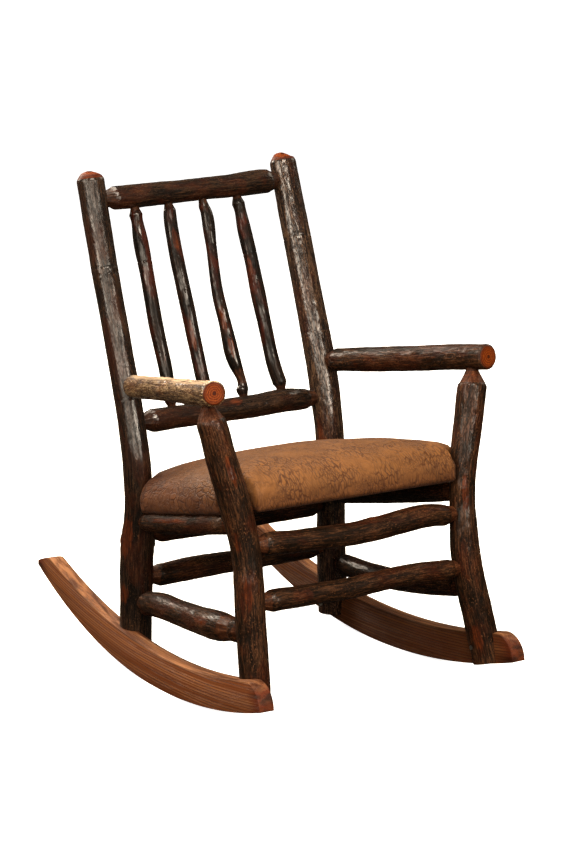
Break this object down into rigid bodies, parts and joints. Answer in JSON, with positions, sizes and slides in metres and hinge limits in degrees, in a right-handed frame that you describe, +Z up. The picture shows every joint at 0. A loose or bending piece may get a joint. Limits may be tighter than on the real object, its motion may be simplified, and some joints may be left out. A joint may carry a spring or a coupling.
{
  "type": "rocking chair",
  "caption": "Rustic rocking chair of bark-covered poles with curved rockers, open arms, a spindle back and an upholstered seat.",
  "frame": {"origin": "on the floor, in the middle of the chair's outline from above, under the seat", "axes": "+X towards the sitter's left, +Y towards the back, +Z up; the rocking turns it about X"},
  "size_m": [0.6757, 0.9244, 0.9752],
  "materials": {
    "bark_pole": "bark left on, dark stain under clear gloss",
    "sawn_board": "sawn and sanded, mid-brown stain, satin varnish",
    "seat_board": "raw plywood, hidden",
    "padding": "plain foam and wadding, hidden under the cover",
    "seat_cover": "distressed tan leather, matt with rubbed darker patches",
    "screws": "plain steel"
  },
  "bodies": {
    "root": {"arm_left": "bark_pole", "arm_right": "bark_pole", "front_lower_stretcher": "bark_pole", "front_post_left": "bark_pole", "front_post_right": "bark_pole", "front_upper_stretcher": "bark_pole", "lower_back_rail": "bark_pole", "rear_post_left": "bark_pole", "rear_post_right": "bark_pole", "rear_stretcher": "bark_pole", "seat_rail_left": "bark_pole", "seat_rail_rear": "bark_pole", "seat_rail_right": "bark_pole", "side_stretcher_left": "bark_pole", "side_stretcher_right": "bark_pole", "spindle_1": "bark_pole", "spindle_2": "bark_pole", "spindle_3": "bark_pole", "spindle_4": "bark_pole", "top_rail": "bark_pole", "rocker_left": "sawn_board", "rocker_right": "sawn_board", "seat_board": "seat_board", "seat_foam": "padding", "seat_cover": "seat_cover", "rocker_screws": "screws", "seat_screws": "screws"}
  },
  "joints": []
}
